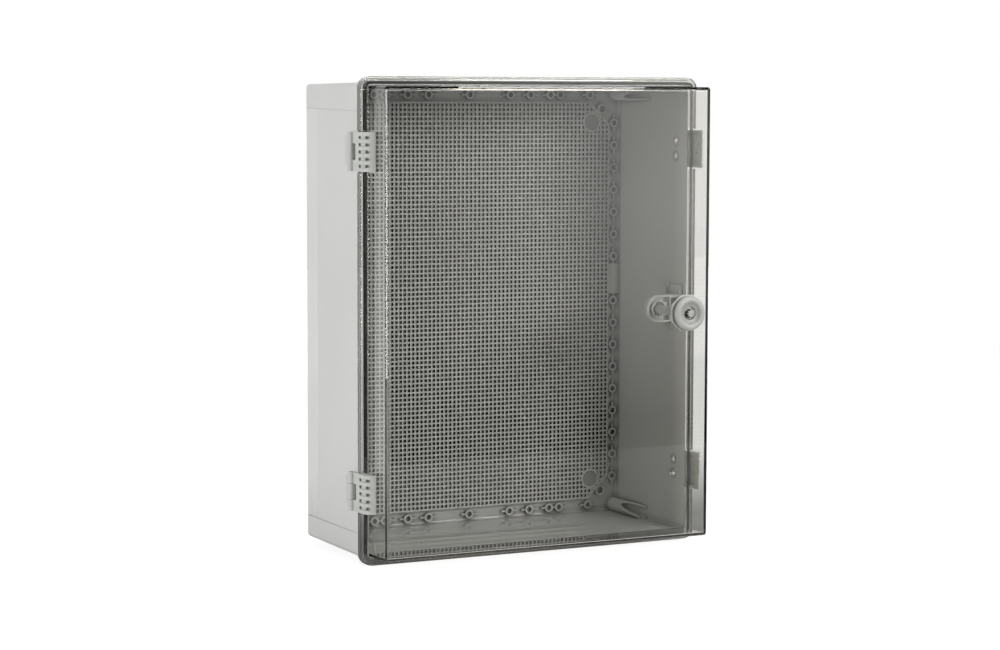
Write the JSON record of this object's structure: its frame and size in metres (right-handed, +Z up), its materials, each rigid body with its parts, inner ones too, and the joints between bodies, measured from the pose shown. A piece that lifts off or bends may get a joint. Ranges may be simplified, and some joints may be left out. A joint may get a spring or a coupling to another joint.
{
  "type": "wall enclosure",
  "caption": "Rectangular grey plastic wall enclosure with a hinged clear cover, gridded mounting plate, snap latches and a round turn lock.",
  "frame": {"origin": "centre of the flat back face that lies on the wall", "axes": "+Z up along the height, +X to the right as seen from the front, +Y into the wall, front at -Y"},
  "size_m": [0.408, 0.217, 0.5],
  "materials": {
    "case_plastic": "light grey, satin",
    "plate_plastic": "mid grey, satin",
    "clip_plastic": "greenish grey, satin",
    "knob_plastic": "mid grey, semi gloss",
    "clear_plastic": "clear, glossy",
    "seal_rubber": "black, matt",
    "steel": "plated",
    "core_metal": "dark grey, satin"
  },
  "bodies": {
    "box": {"base_box": "case_plastic", "mounting_plate": "plate_plastic", "hinge_bracket_upper": "clip_plastic", "hinge_bracket_lower": "clip_plastic", "latch_bracket_upper": "clip_plastic", "latch_bracket_lower": "clip_plastic", "hinge_pin_upper": "steel", "hinge_pin_lower": "steel", "latch_pin_upper": "steel", "latch_pin_lower": "steel", "hinge_screws": "steel", "latch_screws": "steel", "lock_keeper": "case_plastic", "keeper_screws": "steel"},
    "door": {"clear_cover": "clear_plastic", "gasket": "seal_rubber", "hinge_clip_upper": "clip_plastic", "hinge_clip_lower": "clip_plastic", "lock_escutcheon": "knob_plastic", "lock_seal": "seal_rubber", "lock_nut": "clip_plastic"},
    "lock": {"lock_knob": "knob_plastic", "lock_core": "core_metal", "lock_shaft": "clip_plastic", "lock_cross_pin": "steel"},
    "latch_upper": {"latch_clip_upper": "clip_plastic"},
    "latch_lower": {"latch_clip_lower": "clip_plastic"}
  },
  "joints": [
    {"name": "door_swing", "type": "hinge", "parent": "box", "child": "door", "pos_m": [-0.2, -0.139, 0], "axis": [0, 0, -1], "range_deg": [0, 160]},
    {"name": "lock_turn", "type": "hinge", "parent": "door", "child": "lock", "pos_m": [0.1605, -0.2, 0.0012], "axis": [0, 1, 0], "range_deg": [0, 90]},
    {"name": "latch_upper_swing", "type": "hinge", "parent": "box", "child": "latch_upper", "pos_m": [0.2, -0.139, 0.174], "axis": [0, 0, 1], "range_deg": [0, 100]},
    {"name": "latch_lower_swing", "type": "hinge", "parent": "box", "child": "latch_lower", "pos_m": [0.2, -0.139, -0.174], "axis": [0, 0, 1], "range_deg": [0, 100]}
  ]
}
